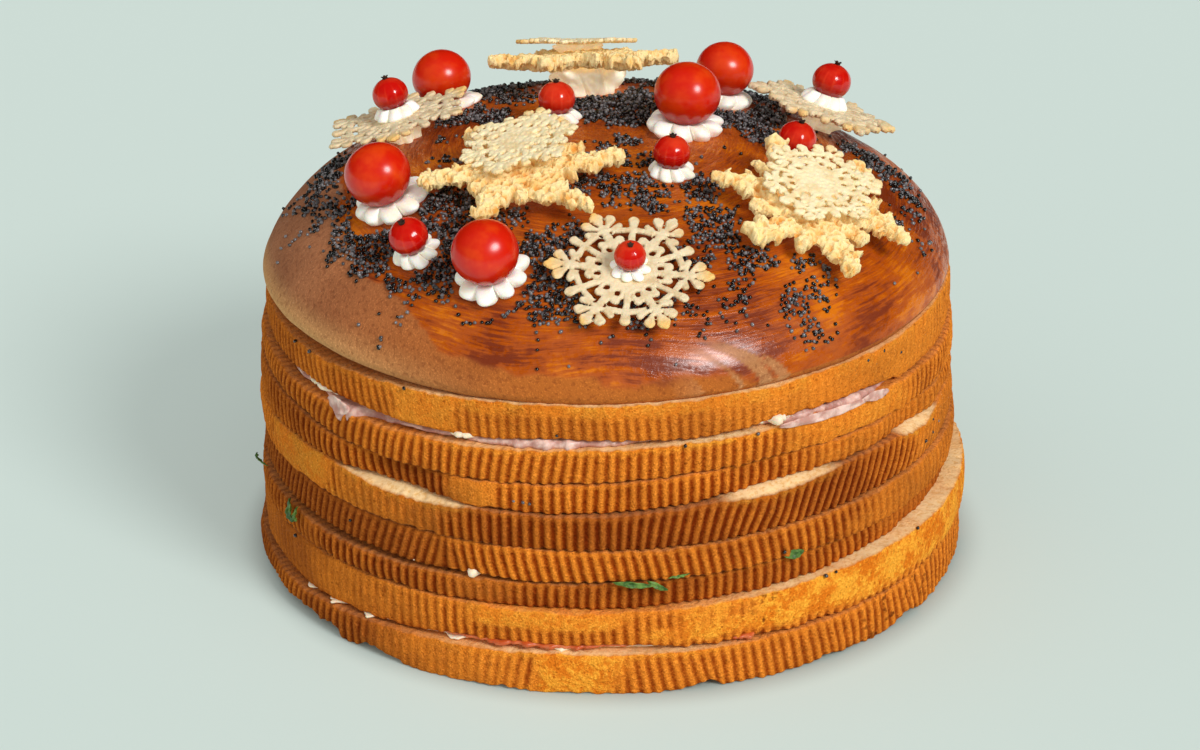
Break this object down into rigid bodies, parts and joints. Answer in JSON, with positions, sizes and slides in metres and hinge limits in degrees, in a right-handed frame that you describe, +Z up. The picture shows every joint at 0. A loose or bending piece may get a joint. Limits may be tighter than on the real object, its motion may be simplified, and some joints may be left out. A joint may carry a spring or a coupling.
{
  "type": "savoury panettone",
  "caption": "Tall round savoury panettone, cut in level slices and filled, with a glazed poppy-seed dome dressed with tomatoes, currants, piped cream and bread snowflakes.",
  "frame": {"origin": "middle of the footprint's box, on the flat underside of the lowest slice", "axes": "+Z up out of the dome, -Y towards the shown front, +X to the right of the shown front"},
  "size_m": [0.186, 0.1838, 0.1289],
  "materials": {
    "crust": "browned bread crust with fine upright ridges",
    "glaze": "brushed egg glaze on a browned dome, with poppy seeds",
    "bread": "torn pale bread crumb",
    "wafer": "thin baked cheese lace",
    "cream": "piped soft cheese cream",
    "salmon": "moist smoked fish",
    "greens": "fresh salad leaf",
    "ham": "moist cooked ham",
    "tomato": "smooth glossy skin",
    "currant": "thin glossy skin over clear flesh"
  },
  "bodies": {
    "root": {"slice_1": "crust", "slice_2": "crust", "slice_3": "crust", "slice_4": "crust", "slice_5": "crust", "slice_6": "crust", "slice_7": "crust", "crown": "glaze", "salmon_layer": "salmon", "greens_layer": "greens", "ham_layer": "ham", "cream_layer_1": "cream", "cream_layer_2": "cream", "cream_layer_3": "cream", "tomato_1": "tomato", "tomato_2": "tomato", "tomato_3": "tomato", "tomato_4": "tomato", "tomato_5": "tomato", "cream_tomato_1": "cream", "cream_tomato_2": "cream", "cream_tomato_3": "cream", "cream_tomato_4": "cream", "cream_tomato_5": "cream", "currant_1": "currant", "currant_2": "currant", "currant_3": "currant", "currant_4": "currant", "currant_5": "currant", "currant_6": "currant", "currant_7": "currant", "cream_currant_1": "cream", "cream_currant_2": "cream", "cream_currant_3": "cream", "cream_currant_4": "cream", "cream_currant_5": "cream", "cream_currant_6": "cream", "cream_currant_7": "cream", "cream_flake_1": "cream", "cream_flake_2": "cream", "cream_flake_3": "cream", "cream_flake_4": "cream", "cream_flake_5": "cream", "cream_flake_6": "cream", "cream_between_4": "cream", "cream_between_5": "cream", "cream_between_6": "cream", "wafer_1": "wafer", "wafer_2": "wafer", "wafer_3": "wafer", "wafer_4": "wafer", "wafer_5": "wafer", "wafer_6": "wafer", "bread_flake_4": "bread", "bread_flake_5": "bread", "bread_flake_6": "bread"}
  },
  "joints": []
}
